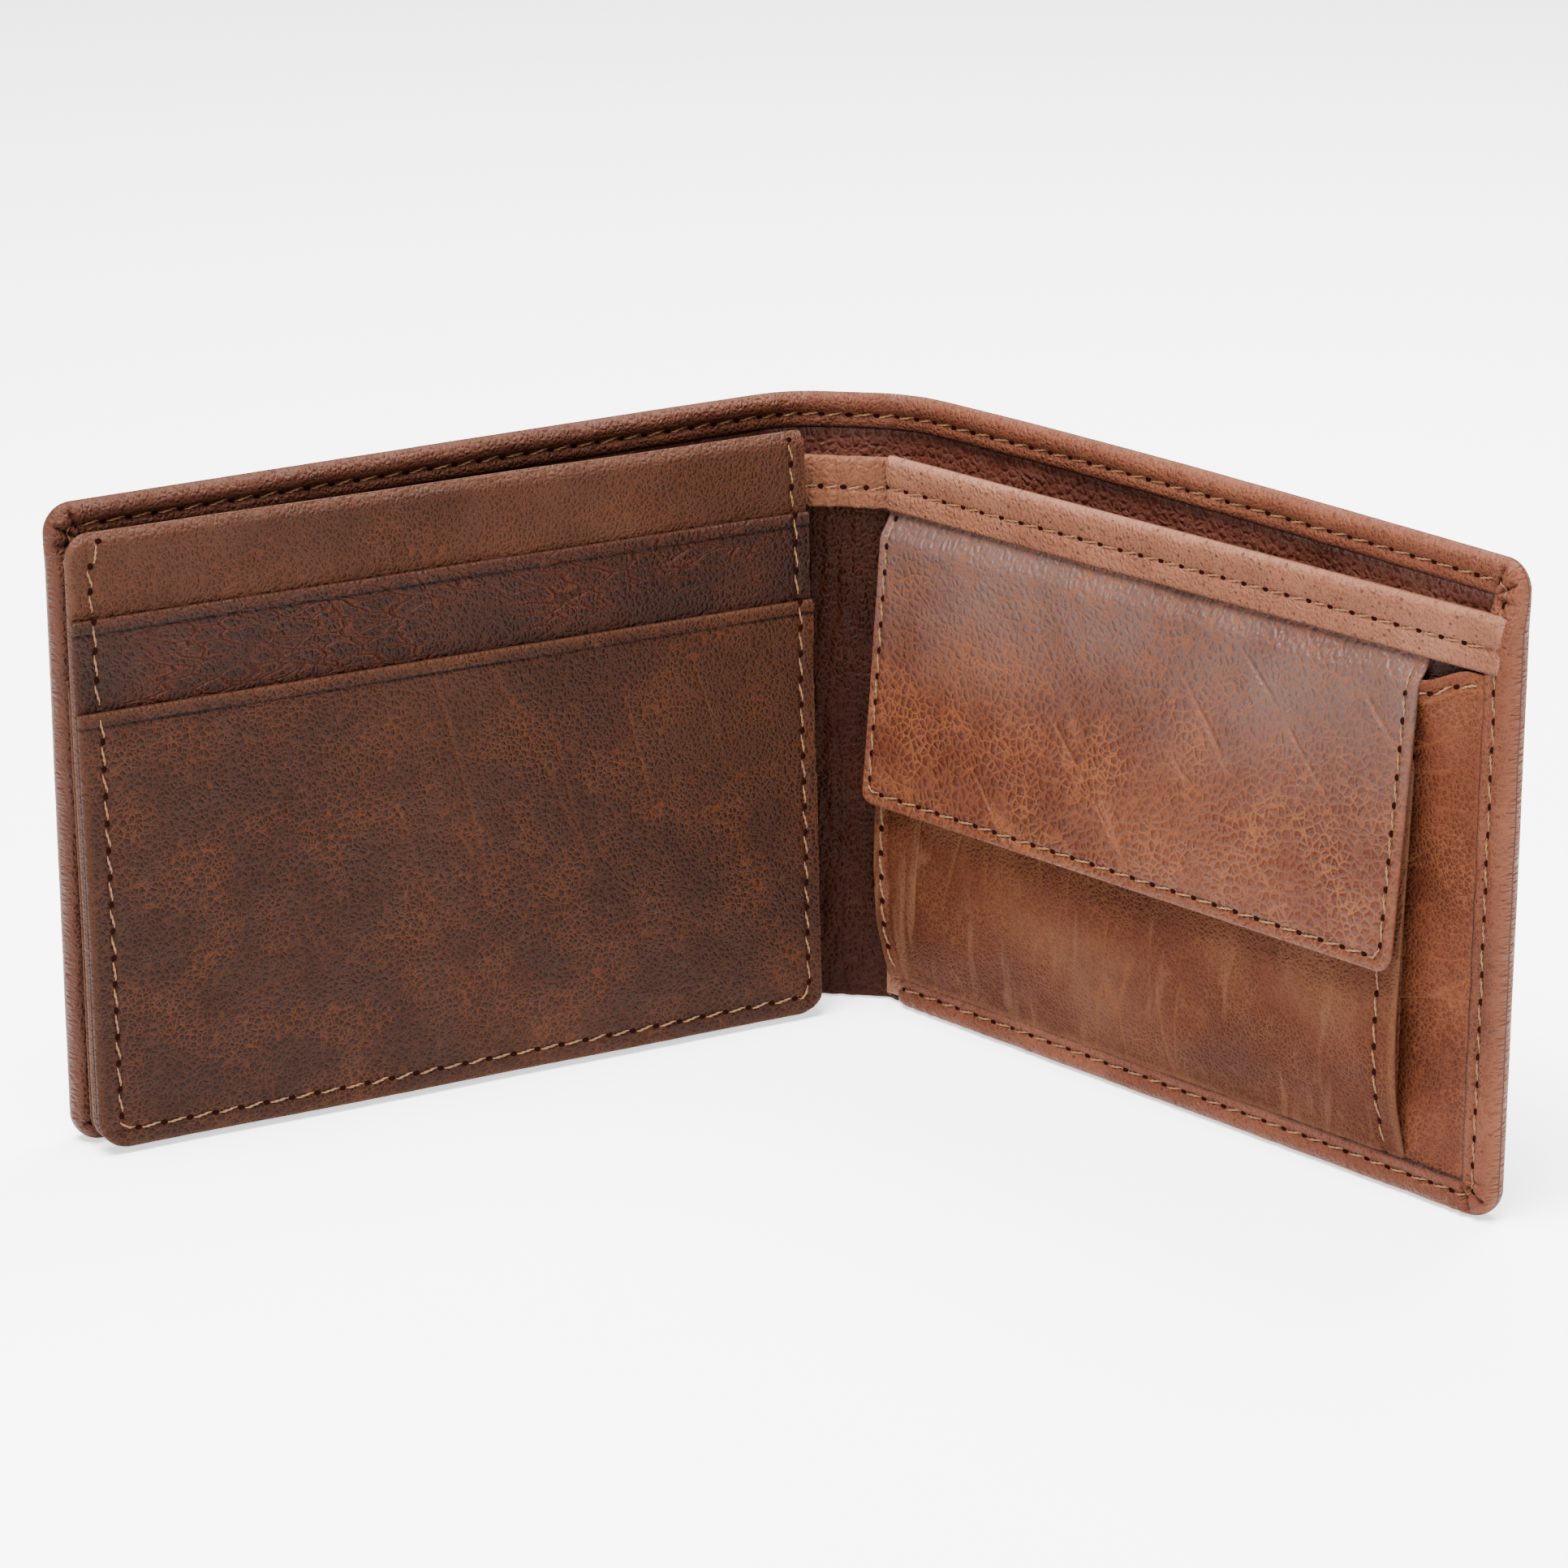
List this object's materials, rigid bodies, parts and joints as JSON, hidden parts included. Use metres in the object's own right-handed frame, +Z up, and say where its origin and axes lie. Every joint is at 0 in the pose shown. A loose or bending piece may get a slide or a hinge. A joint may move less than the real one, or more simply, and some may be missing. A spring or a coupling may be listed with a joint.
{
  "type": "bifold wallet",
  "caption": "Leather bifold wallet standing open, with a flip-up card leaf, a flapped coin pocket, a slip pocket and a note compartment.",
  "frame": {"origin": "middle of the footprint, on the surface the bottom edges stand on", "axes": "+X across the open wallet from the card half to the coin half, +Y from the reader towards the spine, +Z up"},
  "size_m": [0.2, 0.0846, 0.092],
  "materials": {
    "cover_leather": "satin waxed pull-up",
    "hem_leather": "satin, finely pored",
    "inner_leather": "satin",
    "leaf_leather": "satin waxed pull-up",
    "pocket_leather": "satin, pebbled",
    "lining_leather": "semi-gloss pebbled",
    "thread": "matt twisted thread",
    "snap_metal": "brushed"
  },
  "bodies": {
    "spine": {"cover_spine": "cover_leather", "lining_spine": "lining_leather", "hem_top_spine": "hem_leather", "spine_strip": "inner_leather", "band_spine": "hem_leather", "hem_bottom_spine": "hem_leather", "stitch_top_spine": "thread", "stitch_band_spine": "thread"},
    "left_half": {"cover_left": "cover_leather", "lining_left": "lining_leather", "hem_top_left": "hem_leather", "stitch_top_left": "thread", "inner_panel_left": "inner_leather", "band_left": "hem_leather", "hem_end_left": "hem_leather", "edge_end_left": "hem_leather", "hem_bottom_left": "hem_leather", "bottom_wall_left": "inner_leather", "stitch_end_left": "thread", "stitch_bottom_left": "thread", "leaf_hinge_strip": "leaf_leather"},
    "right_half": {"cover_right": "cover_leather", "lining_right": "lining_leather", "hem_top_right": "hem_leather", "stitch_top_right": "thread", "inner_panel_right": "inner_leather", "band_right": "hem_leather", "hem_end_right": "hem_leather", "edge_end_right": "hem_leather", "hem_bottom_right": "hem_leather", "bottom_wall_right": "inner_leather", "stitch_end_right": "thread", "stitch_bottom_right": "thread", "slip_pocket": "pocket_leather", "coin_front": "pocket_leather", "coin_gusset_inner": "inner_leather", "coin_gusset_outer": "inner_leather", "coin_base": "inner_leather", "snap_socket": "snap_metal"},
    "card_leaf": {"leaf_rear_pocket": "inner_leather", "leaf_lining": "inner_leather", "leaf_top_panel": "leaf_leather", "leaf_pocket_upper": "leaf_leather", "leaf_pocket_lower": "leaf_leather", "stitch_leaf_inner": "thread", "stitch_leaf_outer": "thread", "stitch_leaf_bottom": "thread"},
    "coin_flap": {"flap_lining": "inner_leather", "flap_outer": "pocket_leather", "snap_stud": "snap_metal", "stitch_flap_inner": "thread", "stitch_flap_outer": "thread"}
  },
  "joints": [
    {"name": "fold_left", "type": "hinge", "parent": "spine", "child": "left_half", "pos_m": [-0.0066, 0.03425, 0], "axis": [0, 0, 1], "range_deg": [-38.5, 51.5]},
    {"name": "fold_right", "type": "hinge", "parent": "spine", "child": "right_half", "pos_m": [0.0066, 0.03425, 0], "axis": [0, 0, 1], "range_deg": [-51.5, 38.5]},
    {"name": "leaf_flip", "type": "hinge", "parent": "left_half", "child": "card_leaf", "pos_m": [-0.00461, 0.03175, 0.0884], "axis": [-0.7826, -0.6225, 0], "range_deg": [0, 180]},
    {"name": "flap_flip", "type": "hinge", "parent": "right_half", "child": "coin_flap", "pos_m": [0.00523, 0.03253, 0.0763], "axis": [-0.7826, 0.6225, 0], "range_deg": [0, 174.8]}
  ],
  "couplings": [
    {"joint": "fold_right", "follows": "fold_left", "ratio": -1}
  ]
}
